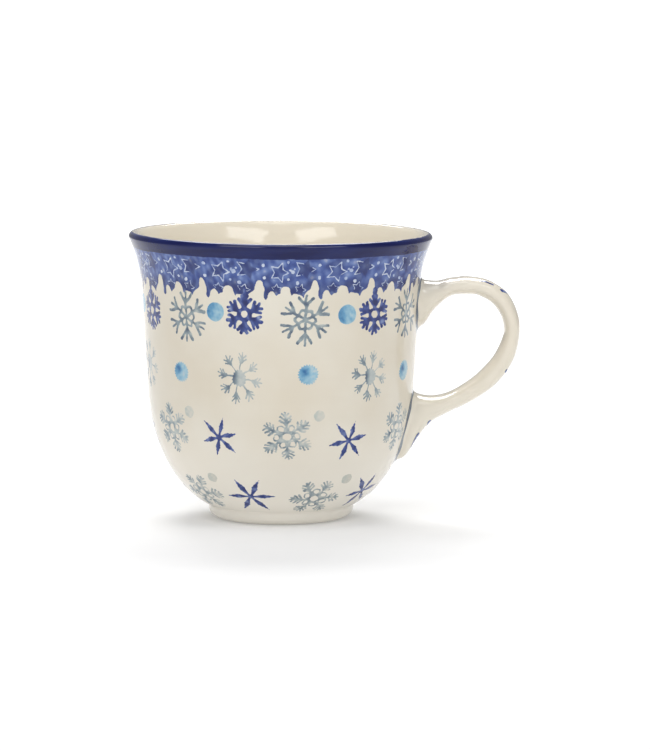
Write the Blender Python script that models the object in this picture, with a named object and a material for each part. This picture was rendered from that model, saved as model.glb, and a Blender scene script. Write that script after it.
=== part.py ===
"""Stoneware mug with a flared rim, a rounded belly, a turned foot ring and an ear-shaped strap handle.

Units are metres and +Z is up. The mug stands on z = 0. The origin is under the middle of the whole mug's
outline, so the cup's own axis lies at x = CUP_AXIS_X and the handle points along +X.
"""

import math

import bmesh
import bpy
from mathutils import Vector
from mathutils.geometry import interpolate_bezier

MM = 0.001

# Cup: driving dimensions.
CUP_AXIS_X = -13.1 * MM
CUP_HEIGHT = 85.0 * MM
RIM_RADIUS = 45.0 * MM
LIP_ROLL_RADIUS = 1.5 * MM
SHOULDER_RADIUS = 41.2 * MM
SHOULDER_HEIGHT = 68.0 * MM
BELLY_RADIUS = 39.3 * MM
BELLY_HEIGHT = 38.0 * MM
FOOT_CREST_RADIUS = 21.6 * MM
FOOT_CREST_HEIGHT = 3.9 * MM
FOOT_FACE_OUTER_RADIUS = 17.7 * MM
FOOT_FACE_INNER_RADIUS = 15.2 * MM
FOOT_RECESS_RADIUS = 13.4 * MM
FOOT_RECESS_DEPTH = 2.6 * MM
WALL_AT_SHOULDER = 4.4 * MM
WALL_AT_BELLY = 4.8 * MM
FLOOR_INSIDE_HEIGHT = 8.2 * MM
FLOOR_INSIDE_RADIUS = 13.0 * MM
FOOT_RECESS_SLOPE = (0.5 * MM, 0.8 * MM)

# Where the outline's curves head from the points they join: (radius, height) offsets in millimetres.
OUTER_GUIDES_MM = {
    "below_lip": (-1.5, -3.6),
    "above_shoulder": (0.5, 8.5),
    "below_shoulder": (-0.5, -8.5),
    "above_belly": (0.7, 9.5),
    "below_belly": (-1.9, -25.6),
    "outside_crest": (2.2, 1.1),
    "below_crest": (0.1, -2.6),
    "outside_foot_face": (2.4, 0.4),
}
INNER_GUIDES_MM = {
    "outside_floor": (11.5, 0.2),
    "below_belly": (-1.9, -20.5),
    "above_belly": (0.7, 9.5),
    "below_shoulder": (-0.5, -8.5),
    "above_shoulder": (0.5, 8.0),
    "below_lip": (-1.2, -3.2),
}

# How finely the turned outline is divided.
TURNED_STEPS = 56
FLARE_POINTS = 7
WALL_POINTS = 4
BELLY_POINTS = 10
RING_POINTS = 6
LIP_POINTS = 8
MERGE_DISTANCE = 0.01 * MM

# Slip joints: each is a pad that follows the wall, a little wider than the handle's root.
PART_GAP = 0.3 * MM
SLIP_THICKNESS = 1.3 * MM
SLIP_BEAD = 0.8 * MM
UPPER_ROOT = {"height": 64.2 * MM, "half_height": 7.4 * MM, "half_width": 7.2 * MM}
LOWER_ROOT = {"height": 27.7 * MM, "half_height": 9.6 * MM, "half_width": 7.6 * MM}
ROOT_SIDES = 28
ROOT_INNER_X = 26.0 * MM
ROOT_OUTER_X = 50.0 * MM

# Handle: stations from the upper root to the lower one, in millimetres from the cup's axis.
# Each gives the outer edge (x, z), the inner edge (x, z) and half of the strap's width along Y.
HANDLE_STATIONS_MM = (
    ((38.6, 72.0), (37.6, 56.0), 7.4),
    ((43.6, 70.9), (42.2, 57.6), 6.7),
    ((47.0, 70.9), (45.7, 62.2), 6.0),
    ((51.0, 71.7), (50.3, 66.2), 5.6),
    ((56.0, 72.0), (55.8, 66.9), 5.5),
    ((61.6, 71.0), (59.6, 66.1), 5.5),
    ((67.2, 67.3), (63.6, 63.4), 5.5),
    ((70.6, 60.8), (65.9, 59.2), 5.5),
    ((71.1, 54.2), (66.2, 54.8), 5.5),
    ((68.9, 46.4), (63.8, 48.9), 5.5),
    ((63.6, 39.5), (59.4, 43.7), 5.6),
    ((56.4, 34.6), (53.6, 39.3), 5.8),
    ((49.6, 31.4), (48.0, 36.7), 6.1),
    ((44.2, 28.2), (43.2, 36.4), 6.6),
    ((40.2, 23.0), (39.6, 37.4), 7.2),
    ((36.6, 18.0), (35.0, 38.0), 7.6),
    ((31.6, 15.6), (30.0, 38.6), 7.6),
)
HANDLE_SIDES = 20
HANDLE_STEPS_PER_STATION = 3

GLAZE_CREAM = (0.80, 0.76, 0.68, 1.0)
BARE_CLAY = (0.72, 0.64, 0.54, 1.0)
CUP_ROUGHNESS = 0.12
HANDLE_ROUGHNESS = 0.14
SLIP_ROUGHNESS = 0.25


def clear_scene():
    for obj in list(bpy.data.objects):
        bpy.data.objects.remove(obj, do_unlink=True)


def make_material(name, colour, roughness):
    material = bpy.data.materials.new(name)
    material.use_nodes = True
    shader = material.node_tree.nodes["Principled BSDF"]
    shader.inputs["Base Color"].default_value = colour
    shader.inputs["Roughness"].default_value = roughness
    shader.inputs["Metallic"].default_value = 0.0
    return material


def link_object(name, mesh, material):
    obj = bpy.data.objects.new(name, mesh)
    bpy.context.scene.collection.objects.link(obj)
    obj.data.materials.append(material)
    return obj


def curve(count, *corners):
    """Points of the Bezier curve on four (radius, height) corners, without its last point."""
    vectors = [Vector((radius, 0.0, height)) for radius, height in corners]
    return [(point.x, point.z) for point in interpolate_bezier(*vectors, count)[:-1]]


def guide(point, offset_mm):
    """A curve's guide point, set off from the (radius, height) point it serves."""
    return point[0] + offset_mm[0] * MM, point[1] + offset_mm[1] * MM


def lip_centre():
    return RIM_RADIUS - LIP_ROLL_RADIUS, CUP_HEIGHT - LIP_ROLL_RADIUS


def lip_arc():
    """The rolled lip, from its inner side over the top to its outer side."""
    centre_radius, centre_height = lip_centre()
    points = []
    for step in range(LIP_POINTS + 1):
        angle = math.pi * (1.0 - step / LIP_POINTS)
        radius = centre_radius + LIP_ROLL_RADIUS * math.cos(angle)
        points.append((radius, centre_height + LIP_ROLL_RADIUS * math.sin(angle)))
    return points


def outer_wall():
    """The outside from just under the lip down to the foot ring's resting face."""
    lip_side = (RIM_RADIUS, lip_centre()[1])
    shoulder = (SHOULDER_RADIUS, SHOULDER_HEIGHT)
    belly = (BELLY_RADIUS, BELLY_HEIGHT)
    crest = (FOOT_CREST_RADIUS, FOOT_CREST_HEIGHT)
    face = (FOOT_FACE_OUTER_RADIUS, 0.0)
    below_lip = guide(lip_side, OUTER_GUIDES_MM["below_lip"])
    above_shoulder = guide(shoulder, OUTER_GUIDES_MM["above_shoulder"])
    flare = curve(FLARE_POINTS, lip_side, below_lip, above_shoulder, shoulder)
    below_shoulder = guide(shoulder, OUTER_GUIDES_MM["below_shoulder"])
    above_belly = guide(belly, OUTER_GUIDES_MM["above_belly"])
    wall = curve(WALL_POINTS, shoulder, below_shoulder, above_belly, belly)
    below_belly = guide(belly, OUTER_GUIDES_MM["below_belly"])
    outside_crest = guide(crest, OUTER_GUIDES_MM["outside_crest"])
    round_belly = curve(BELLY_POINTS, belly, below_belly, outside_crest, crest)
    below_crest = guide(crest, OUTER_GUIDES_MM["below_crest"])
    outside_face = guide(face, OUTER_GUIDES_MM["outside_foot_face"])
    ring = curve(RING_POINTS, crest, below_crest, outside_face, face)
    return flare[1:] + wall + round_belly + ring + [face]


def inner_wall():
    """The inside from the middle of the floor up to just under the lip."""
    rim = (RIM_RADIUS - 2.0 * LIP_ROLL_RADIUS, lip_centre()[1])
    shoulder = (SHOULDER_RADIUS - WALL_AT_SHOULDER, SHOULDER_HEIGHT)
    belly = (BELLY_RADIUS - WALL_AT_BELLY, BELLY_HEIGHT)
    floor_edge = (FLOOR_INSIDE_RADIUS, FLOOR_INSIDE_HEIGHT)
    outside_floor = guide(floor_edge, INNER_GUIDES_MM["outside_floor"])
    below_belly = guide(belly, INNER_GUIDES_MM["below_belly"])
    bowl = curve(BELLY_POINTS, floor_edge, outside_floor, below_belly, belly)
    above_belly = guide(belly, INNER_GUIDES_MM["above_belly"])
    below_shoulder = guide(shoulder, INNER_GUIDES_MM["below_shoulder"])
    wall = curve(WALL_POINTS, belly, above_belly, below_shoulder, shoulder)
    above_shoulder = guide(shoulder, INNER_GUIDES_MM["above_shoulder"])
    below_lip = guide(rim, INNER_GUIDES_MM["below_lip"])
    flare = curve(FLARE_POINTS, shoulder, above_shoulder, below_lip, rim)
    return [(0.0, FLOOR_INSIDE_HEIGHT)] + bowl + wall + flare


def foot_underside():
    """The hollow under the foot ring, from its resting face in to the axis."""
    return [
        (FOOT_FACE_INNER_RADIUS, 0.0),
        (FOOT_RECESS_RADIUS + FOOT_RECESS_SLOPE[0], FOOT_RECESS_DEPTH - FOOT_RECESS_SLOPE[1]),
        (FOOT_RECESS_RADIUS, FOOT_RECESS_DEPTH),
        (0.0, FOOT_RECESS_DEPTH),
    ]


def offset_outward(outline, distance):
    """The outline moved outward along its own normals."""
    moved = []
    for index, (radius, height) in enumerate(outline):
        before = outline[max(index - 1, 0)]
        after = outline[min(index + 1, len(outline) - 1)]
        along = Vector((after[0] - before[0], after[1] - before[1])).normalized()
        moved.append((radius - along.y * distance, height + along.x * distance))
    return moved


def turned_object(name, outline, material):
    """A solid of revolution about the cup's axis from (radius, height) points that run down the outside."""
    mesh = bpy.data.meshes.new(name)
    points = [(radius, 0.0, height) for radius, height in outline]
    edges = [(index, index + 1) for index in range(len(points) - 1)]
    mesh.from_pydata(points, edges, [])
    obj = link_object(name, mesh, material)
    obj.location.x = CUP_AXIS_X
    screw = obj.modifiers.new("turning", "SCREW")
    screw.axis = "Z"
    screw.angle = 2.0 * math.pi
    screw.steps = TURNED_STEPS
    screw.render_steps = TURNED_STEPS
    screw.use_merge_vertices = True
    screw.merge_threshold = MERGE_DISTANCE
    screw.use_smooth_shade = True
    return obj


def make_cup_body(material):
    outline = inner_wall() + lip_arc() + outer_wall() + foot_underside()
    return turned_object("cup_body", outline, material)


def make_wall_cutter(name, distance, material):
    """The cup as one full solid, grown outward, to trim what meets its wall."""
    outside = offset_outward(outer_wall(), distance)
    top = (0.0, outside[0][1])
    bottom = (0.0, outside[-1][1])
    cutter = turned_object(name, [top] + outside + [bottom], material)
    cutter.hide_render = True
    cutter.display_type = "WIRE"
    return cutter


def add_boolean(obj, name, operation, other):
    boolean = obj.modifiers.new(name, "BOOLEAN")
    boolean.operation = operation
    boolean.solver = "EXACT"
    boolean.object = other


def mesh_from_rings(name, rings):
    """A closed tube through rings of equal length, with both ends capped."""
    mesh = bpy.data.meshes.new(name)
    work = bmesh.new()
    rows = [[work.verts.new(point) for point in ring] for ring in rings]
    count = len(rows[0])
    for row, following in zip(rows, rows[1:]):
        for index in range(count):
            beside = (index + 1) % count
            work.faces.new((row[index], row[beside], following[beside], following[index]))
    work.faces.new(rows[0])
    work.faces.new(list(reversed(rows[-1])))
    bmesh.ops.recalc_face_normals(work, faces=work.faces)
    work.to_mesh(mesh)
    work.free()
    return mesh


def smooth_between(before, start, end, after, share):
    """One value of the Catmull-Rom curve through four neighbours, between the middle two."""
    slope_start = (end - before) / 2.0
    slope_end = (after - start) / 2.0
    rise = end - start
    return (
        start
        + slope_start * share
        + (3.0 * rise - 2.0 * slope_start - slope_end) * share**2
        + (slope_start + slope_end - 2.0 * rise) * share**3
    )


def handle_sections():
    """(centre, half thickness vector, half width) all along the handle, on smooth curves."""
    stations = []
    for (outer_x, outer_z), (inner_x, inner_z), half_width in HANDLE_STATIONS_MM:
        outer = Vector((outer_x * MM, 0.0, outer_z * MM))
        inner = Vector((inner_x * MM, 0.0, inner_z * MM))
        stations.append(((outer + inner) / 2.0, (outer - inner) / 2.0, half_width * MM))
    last = len(stations) - 1
    sections = []
    for index in range(last):
        around = [stations[min(max(index + shift, 0), last)] for shift in (-1, 0, 1, 2)]
        for step in range(HANDLE_STEPS_PER_STATION):
            share = step / HANDLE_STEPS_PER_STATION
            sections.append(tuple(smooth_between(*values, share) for values in zip(*around)))
    sections.append(stations[-1])
    return sections


def handle_ring(centre, half_thickness, half_width):
    """An oval section of the strap, across the handle's path."""
    ring = []
    for side in range(HANDLE_SIDES):
        angle = 2.0 * math.pi * side / HANDLE_SIDES
        across = Vector((0.0, half_width * math.sin(angle), 0.0))
        ring.append(centre + half_thickness * math.cos(angle) + across)
    return ring


def make_handle(material, wall_cutter):
    rings = [handle_ring(*section) for section in handle_sections()]
    mesh = mesh_from_rings("handle", rings)
    mesh.shade_smooth()
    handle = link_object("handle", mesh, material)
    handle.location.x = CUP_AXIS_X
    add_boolean(handle, "fitted_to_wall", "DIFFERENCE", wall_cutter)
    return handle


def root_outline(root, distance_out):
    """The oval of a handle root with its bead, at one distance from the cup's axis."""
    half_width = root["half_width"] + SLIP_BEAD
    half_height = root["half_height"] + SLIP_BEAD
    ring = []
    for side in range(ROOT_SIDES):
        angle = 2.0 * math.pi * side / ROOT_SIDES
        height = root["height"] + half_height * math.sin(angle)
        ring.append(Vector((distance_out, half_width * math.cos(angle), height)))
    return ring


def make_slip_joint(name, root, material, wall_cutter, skin_cutter):
    rings = [root_outline(root, ROOT_INNER_X), root_outline(root, ROOT_OUTER_X)]
    joint = link_object(name, mesh_from_rings(name, rings), material)
    joint.location.x = CUP_AXIS_X
    add_boolean(joint, "outer_face", "INTERSECT", skin_cutter)
    add_boolean(joint, "inner_face", "DIFFERENCE", wall_cutter)
    return joint


def build_mug():
    clear_scene()
    body_glaze = make_material("cup_glaze", GLAZE_CREAM, CUP_ROUGHNESS)
    handle_glaze = make_material("handle_glaze", GLAZE_CREAM, HANDLE_ROUGHNESS)
    upper_slip = make_material("upper_slip_glaze", BARE_CLAY, SLIP_ROUGHNESS)
    lower_slip = make_material("lower_slip_glaze", BARE_CLAY, SLIP_ROUGHNESS)
    slip_inside = make_wall_cutter("slip_inside_cutter", PART_GAP, body_glaze)
    slip_outside = make_wall_cutter("slip_outside_cutter", PART_GAP + SLIP_THICKNESS, body_glaze)
    handle_inside = make_wall_cutter("handle_cutter", 2.0 * PART_GAP + SLIP_THICKNESS, body_glaze)
    make_cup_body(body_glaze)
    make_handle(handle_glaze, handle_inside)
    make_slip_joint("upper_slip_joint", UPPER_ROOT, upper_slip, slip_inside, slip_outside)
    make_slip_joint("lower_slip_joint", LOWER_ROOT, lower_slip, slip_inside, slip_outside)


build_mug()
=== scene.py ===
"""Looks of the stoneware mug: glazed clay, stamped decoration under the glaze, studio light and camera.

Sizes are millimetres from the cup's axis and its resting plane; a finished mesh is turned into metres
in the frame. Angles round the cup are in degrees from the side that faces the camera, and the handle
is at 90. A place on the outside is (angle, reach): reach is the length along the cup's outline, up from
the outer edge of the foot's resting face. A motif is drawn flat, x to the right and y up, as a distance
field that is below zero where there is paint.
"""
import math

import bpy
import numpy as np
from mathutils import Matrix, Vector


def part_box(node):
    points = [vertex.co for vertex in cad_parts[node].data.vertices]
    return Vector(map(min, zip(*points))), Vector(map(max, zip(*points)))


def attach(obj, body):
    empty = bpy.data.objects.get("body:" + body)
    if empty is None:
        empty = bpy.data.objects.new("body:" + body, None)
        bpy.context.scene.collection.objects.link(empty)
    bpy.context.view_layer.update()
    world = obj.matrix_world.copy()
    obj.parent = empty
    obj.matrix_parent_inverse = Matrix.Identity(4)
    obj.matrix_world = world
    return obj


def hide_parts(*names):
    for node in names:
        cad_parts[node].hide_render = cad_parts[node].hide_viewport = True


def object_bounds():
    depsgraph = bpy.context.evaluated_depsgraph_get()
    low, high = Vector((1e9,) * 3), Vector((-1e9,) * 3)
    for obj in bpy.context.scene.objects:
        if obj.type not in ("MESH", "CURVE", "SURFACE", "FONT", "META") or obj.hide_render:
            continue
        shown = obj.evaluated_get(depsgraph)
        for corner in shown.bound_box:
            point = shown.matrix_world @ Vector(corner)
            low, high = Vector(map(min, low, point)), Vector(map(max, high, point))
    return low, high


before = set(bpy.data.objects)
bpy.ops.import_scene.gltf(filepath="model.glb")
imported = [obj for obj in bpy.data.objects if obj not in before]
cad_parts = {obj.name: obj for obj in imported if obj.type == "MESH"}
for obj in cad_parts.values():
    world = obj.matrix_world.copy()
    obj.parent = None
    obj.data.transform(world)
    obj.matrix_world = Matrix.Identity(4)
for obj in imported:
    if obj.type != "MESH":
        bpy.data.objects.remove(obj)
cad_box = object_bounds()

MM = 0.001
CUP_LOW, CUP_HIGH = (np.array(corner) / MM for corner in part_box("cup_body"))
CUP_AXIS = np.array(((CUP_LOW[0] + CUP_HIGH[0]) / 2, (CUP_LOW[1] + CUP_HIGH[1]) / 2, 0.0))
RIM_RADIUS = (CUP_HIGH[0] - CUP_LOW[0]) / 2
LIP_RISE = 0.4
CUP_HEIGHT = CUP_HIGH[2] + LIP_RISE

# Cup outline: (radius, height) points and wall thicknesses. Angles are in degrees.
LIP_ROLL = 1.5
LIP_STEPS = 13
LIP_SLOPE = 35.0
LIP_GUIDE = 3.6
SHOULDER = (41.2, 68.0)
BELLY = (39.3, 38.0)
FOOT_CREST = (21.6, 3.5)
FOOT_FACE = (15.2, 17.5)
FOOT_RECESS = (13.4, 2.6)
WALL_AT_SHOULDER = 4.4
WALL_AT_BELLY = 4.8
FLOOR_INSIDE = (13.0, 8.2)
OUTLINE_STEP = 0.5
INSIDE_STEP = 0.8
FINE_STEP = 0.1
ROUND_STEPS = 288
CUP_SWAY = 0.12
RIM_TILT = 0.33
RIM_TILT_ANGLE = -100.0

# Handle stations as in the CAD: outer edge (x, z), inner edge (x, z), half of the width along Y.
HANDLE_STATIONS = (
    ((38.6, 72.0), (37.6, 56.0), 7.4),
    ((43.6, 70.9), (42.2, 57.6), 6.7),
    ((47.0, 70.9), (45.7, 62.2), 6.0),
    ((51.0, 71.7), (50.3, 66.2), 5.6),
    ((56.0, 72.0), (55.8, 66.9), 5.5),
    ((61.6, 71.0), (59.6, 66.1), 5.5),
    ((67.2, 67.3), (63.6, 63.4), 5.5),
    ((70.6, 60.8), (65.9, 59.2), 5.5),
    ((71.1, 54.2), (66.2, 54.8), 5.5),
    ((68.9, 46.4), (63.8, 48.9), 5.5),
    ((63.6, 39.5), (59.4, 43.7), 5.6),
    ((56.4, 34.6), (53.6, 39.3), 5.8),
    ((49.6, 31.4), (48.0, 36.7), 6.1),
    ((44.2, 28.2), (43.2, 36.4), 6.6),
    ((40.2, 23.0), (39.6, 37.4), 7.2),
    ((36.6, 18.0), (37.2, 38.0), 7.6),
    ((32.8, 17.4), (36.2, 38.2), 7.6),
)
HANDLE_RINGS_PER_STATION = 10
HANDLE_SIDES = 64
STRAP_ROUNDNESS = 0.86
FILLET_REACH = 1.7
FILLET_STEPS = 8
ROOT_SEARCH_STEPS = 500

# Paint layers: thin closed skins whose edges dip under the glaze.
PAINT_SINK = 0.03
PAINT_RAMP = 0.09
BAND_LIFT = 0.05
HANDLE_PAINT_LIFT = 0.03

# Placements round the cup: (angle, reach, turn of the stamp in degrees), and its size where that isn't 1.
COBALT_FLAKES = (
    (-66.6, 72.4, 3), (-14.5, 73.3, -2), (42.1, 72.4, 2), (138.0, 72.9, 5), (190.0, 72.6, -4),
    (242.0, 73.1, 0),
)
BRANCHED_FLAKES = (
    (-41.8, 71.9, 0), (10.6, 71.8, -2), (64.1, 71.6, 0), (114.0, 71.9, -3), (163.0, 72.3, 4),
    (215.0, 71.8, 0), (266.0, 72.1, -2),
)
PLAIN_DOTS = (
    (-27.2, 73.8, 0), (28.5, 73.0, 20, 1.04), (126.5, 73.2, 60, 0.98), (177.0, 73.7, -20),
    (229.0, 73.3, 10), (280.5, 73.6, 0),
)
FERN_FLAKES = (
    (-74.3, 56.2, 0), (-17.3, 54.6, 0), (41.2, 54.2, 1), (98.0, 54.6, -4), (158.0, 55.0, 3),
    (218.0, 54.5, -2),
)
SERRATED_DOTS = (
    (-46.5, 55.3, 0), (11.9, 55.7, 0), (65.2, 54.6, 0), (128.0, 55.2, 0), (188.0, 55.7, 0),
    (250.0, 55.0, 0),
)
ROSETTE_FLAKES = (
    (-56.4, 38.0, 4), (3.1, 37.2, 5), (63.6, 37.8, 0), (122.0, 37.5, 6), (182.0, 37.9, -4),
    (242.0, 37.3, 2), (-52.0, 16.2, 30), (20.7, 15.0, 31, 1.02), (93.0, 14.6, 28, 0.97),
    (165.0, 15.4, 33), (237.0, 15.8, 25),
)
PETAL_STARS = (
    (-28.0, 36.5, 14), (32.1, 35.4, 12), (152.0, 36.0, 16), (212.0, 35.6, 8), (272.0, 36.2, 14),
    (-17.4, 16.1, 1, 1.1), (55.4, 16.4, 12, 1.08), (127.0, 15.6, 4, 1.05), (199.0, 16.2, -3, 1.08),
    (271.0, 15.8, 7, 1.05),
)
FAINT_DOTS = (
    (-43.1, 43.6, 0), (17.1, 43.4, 0, 0.95), (136.0, 43.2, 0), (197.0, 43.6, 0), (257.0, 43.3, 0),
    (-37.4, 22.8, 0, 0.95), (36.6, 22.3, 0), (109.0, 21.8, 0, 0.9), (181.0, 22.5, 0),
    (253.0, 22.2, 0),
)

# Star border: where each repeat starts, and its lower edge as (along, depth below the rim band).
BORDER_STARTS = (
    -55.3, -31.0, -6.2, 15.7, 41.4, 65.5, 89.5, 113.5, 137.5, 161.0, 185.0, 209.0, 233.0, 257.0, 281.0,
)
BORDER_REPEAT = 18.3
BORDER_RADIUS = 42.0
BORDER_TOP, BORDER_BOTTOM = -0.8, 13.4
BORDER_EDGE = (
    (-3.5, 9.9), (-2.7, 9.3), (-2.4, 8.0), (-2.0, 7.0), (-1.4, 6.6), (-0.7, 7.0), (-0.2, 8.4), (-0.1, 10.1),
    (-0.1, 11.5), (0.6, 12.4), (1.3, 11.8), (1.5, 10.3), (2.2, 9.7), (2.9, 9.8), (3.5, 10.6), (4.0, 11.3),
    (4.7, 10.7), (5.5, 10.4), (5.8, 9.4), (6.5, 8.5), (7.5, 8.3), (8.4, 8.8), (8.9, 10.0), (9.4, 11.3),
    (10.0, 10.7), (11.3, 10.8), (12.5, 11.1), (13.2, 11.9), (13.6, 10.9), (14.3, 10.2),
)

# Cobalt rim band: its lower edge's height, how many degrees of the lip's roll it covers, its mesh rows.
RIM_BAND_HEIGHT = 81.0
BAND_CROWN = 84.0
BAND_ROWS = 34
BAND_RADIUS = 40.0


# --- shape helpers


def srgb(red, green, blue):
    """A linear colour from 0-255 display values."""
    values = np.array((red, green, blue)) / 255.0
    linear = np.where(values <= 0.04045, values / 12.92, ((values + 0.055) / 1.055) ** 2.4)
    return (*linear, 1.0)


def smoothstep(low, high, value):
    share = np.clip((value - low) / (high - low), 0.0, 1.0)
    return share * share * (3.0 - 2.0 * share)


def drift(seed, size, *coords):
    """Slow wandering between about -1 and 1 over the given coordinates, the same each run."""
    draw = np.random.default_rng(seed)
    total = 0.0
    for _ in range(6):
        direction = draw.normal(size=len(coords))
        direction /= np.linalg.norm(direction)
        wave = 2.0 * math.pi / (size * draw.uniform(0.6, 1.6))
        phase = draw.uniform(0.0, 2.0 * math.pi)
        total = total + np.sin(wave * sum(part * axis for part, axis in zip(direction, coords)) + phase)
    return total / 3.0


def bezier(count, *corners):
    """A Bezier curve on four corners, without its last point."""
    share = (np.arange(count) / count)[:, None]
    start, handle_start, handle_end, end = (np.array(corner, float) for corner in corners)
    left = 1.0 - share
    return (
        left**3 * start
        + 3.0 * left**2 * share * handle_start
        + 3.0 * left * share**2 * handle_end
        + share**3 * end
    )


def lengths_along(points):
    steps = np.linalg.norm(np.diff(points, axis=0), axis=1)
    return np.concatenate(([0.0], np.cumsum(steps)))


def evenly(points, step):
    """The same line with points an even step apart."""
    lengths = lengths_along(points)
    marks = np.linspace(0.0, lengths[-1], max(2, int(round(lengths[-1] / step)) + 1))
    return np.stack([np.interp(marks, lengths, points[:, axis]) for axis in range(points.shape[1])], 1)


def smooth_line(points, per_gap):
    """A Catmull-Rom curve through the points."""
    points = np.asarray(points, float)
    last = len(points) - 1
    out = []
    for index in range(last):
        a, b, c, d = (points[min(max(index + shift, 0), last)] for shift in (-1, 0, 1, 2))
        for share in np.arange(per_gap) / per_gap:
            out.append(
                b
                + (c - a) / 2.0 * share
                + (a - 2.5 * b + 2.0 * c - d / 2.0) * share**2
                + (1.5 * b - a / 2.0 - 1.5 * c + d / 2.0) * share**3
            )
    out.append(points[-1])
    return np.array(out)


# --- the cup's outline


def outside_outline():
    """From the foot's resting face up the outside, over the lip, to the lip's inner side."""
    lip_radius = RIM_RADIUS - LIP_ROLL
    lip_height = CUP_HEIGHT - LIP_ROLL
    face_edge = (FOOT_FACE[1], 0.0)
    crest = np.array(FOOT_CREST)
    foot = [
        bezier(12, face_edge, (FOOT_FACE[1] + 2.4, 0.15), crest + (0.1, -2.3), crest),
        bezier(4, crest, crest + (0.02, 0.25), crest + (-0.12, 0.35), crest + (-0.22, 0.42)),
    ]
    belly = bezier(
        60,
        crest + (-0.12, 0.5),
        (FOOT_CREST[0] + 2.3, FOOT_CREST[1] + 1.55),
        (BELLY[0] - 1.9, BELLY[1] - 25.6),
        BELLY,
    )
    wall = bezier(
        40,
        BELLY,
        (BELLY[0] + 0.7, BELLY[1] + 9.5),
        (SHOULDER[0] - 0.5, SHOULDER[1] - 8.5),
        SHOULDER,
    )
    flare = bezier(
        24,
        SHOULDER,
        (SHOULDER[0] + 0.5, SHOULDER[1] + 8.5),
        (RIM_RADIUS - 1.5, lip_height - LIP_GUIDE),
        (RIM_RADIUS, lip_height),
    )
    angles = np.radians(np.linspace(0.0, 180.0 - LIP_SLOPE, LIP_STEPS))
    lip = np.stack([lip_radius + LIP_ROLL * np.cos(angles), lip_height + LIP_ROLL * np.sin(angles)], 1)
    return np.concatenate([*foot, belly, wall, flare, lip])


def inside_outline():
    """From the lip's inner side down to the middle of the floor."""
    slope = math.radians(LIP_SLOPE)
    inward, down = math.sin(slope), math.cos(slope)
    rim = (RIM_RADIUS - LIP_ROLL * (1.0 + down), CUP_HEIGHT - LIP_ROLL * (1.0 - inward))
    below_rim = (rim[0] - LIP_GUIDE * inward, rim[1] - LIP_GUIDE * down)
    shoulder = (SHOULDER[0] - WALL_AT_SHOULDER, SHOULDER[1])
    belly = (BELLY[0] - WALL_AT_BELLY, BELLY[1])
    floor = FLOOR_INSIDE
    flare = bezier(20, rim, below_rim, (shoulder[0] + 0.6, shoulder[1] + 8.5), shoulder)
    below_shoulder = (shoulder[0] - 0.5, shoulder[1] - 8.5)
    wall = bezier(30, shoulder, below_shoulder, (belly[0] + 0.7, belly[1] + 9.5), belly)
    bowl = bezier(50, belly, (belly[0] - 1.9, belly[1] - 20.5), (floor[0] + 11.5, floor[1] + 0.2), floor)
    return np.concatenate([flare, wall, bowl, [floor, (0.0, floor[1])]])


def underside_outline():
    """From the axis out to the foot's resting face."""
    inner, outer = FOOT_FACE
    recess_radius, recess_height = FOOT_RECESS
    slope = bezier(
        8,
        (recess_radius - 1.0, recess_height),
        (recess_radius + 0.4, recess_height),
        (inner - 0.9, 0.0),
        (inner, 0.0),
    )
    return np.concatenate([[(0.0, recess_height)], slope, [(inner, 0.0), (outer, 0.0)]])


OUTSIDE = evenly(outside_outline(), FINE_STEP)
REACHES = lengths_along(OUTSIDE)
BELOW_LIP = OUTSIDE[:, 1] <= CUP_HEIGHT - LIP_ROLL


def reach_at_height(height):
    """The reach at which the outside gets to a height, below the lip."""
    return np.interp(height, OUTSIDE[BELOW_LIP, 1], REACHES[BELOW_LIP])


def radius_at_height(height):
    """The outside's radius at a height, below the lip."""
    return np.interp(height, OUTSIDE[BELOW_LIP, 1], OUTSIDE[BELOW_LIP, 0])


def sway(angle, height):
    """How far hand work leaves the wall from a true circle, in and out."""
    turn = np.radians(angle)
    ease = smoothstep(3.0, 25.0, height)
    slow = 0.6 - np.cos(2.0 * turn + 0.5) + 0.5 * np.sin(3.0 * turn + 0.4)
    ridges = 0.16 * np.sin(height * 0.95 + 0.8 * np.sin(turn)) + 0.1 * np.sin(height * 1.9 + 1.0)
    return CUP_SWAY * ease * (slow + ridges)


def rim_tilt(angle, height):
    """How far the rim stands above or below a level ring."""
    turn = np.radians(angle - RIM_TILT_ANGLE)
    return RIM_TILT * smoothstep(60.0, 84.0, height) * (np.cos(turn) - 0.3 + 0.15 * np.sin(3.0 * turn))


def turned_points(angle, radius, height):
    """Points round the axis, with the hand's unevenness. Angle 0 faces the camera."""
    turn = np.radians(angle)
    wide = radius + np.where(radius > 1.0, sway(angle, height), 0.0)
    return np.stack([wide * np.sin(turn), -wide * np.cos(turn), height + rim_tilt(angle, height)], -1)


def wall_points(angle, reach):
    radius = np.interp(reach, REACHES, OUTSIDE[:, 0])
    height = np.interp(reach, REACHES, OUTSIDE[:, 1])
    return turned_points(angle, radius, height)


def wall_normals(angle, reach):
    """Outward unit normals of the outside."""
    step_angle, step_reach = 0.4, 0.25
    round_way = wall_points(angle + step_angle, reach) - wall_points(angle - step_angle, reach)
    up_way = wall_points(angle, reach + step_reach) - wall_points(angle, reach - step_reach)
    normal = np.cross(round_way, up_way)
    return normal / np.linalg.norm(normal, axis=-1, keepdims=True)


# --- meshes


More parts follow.
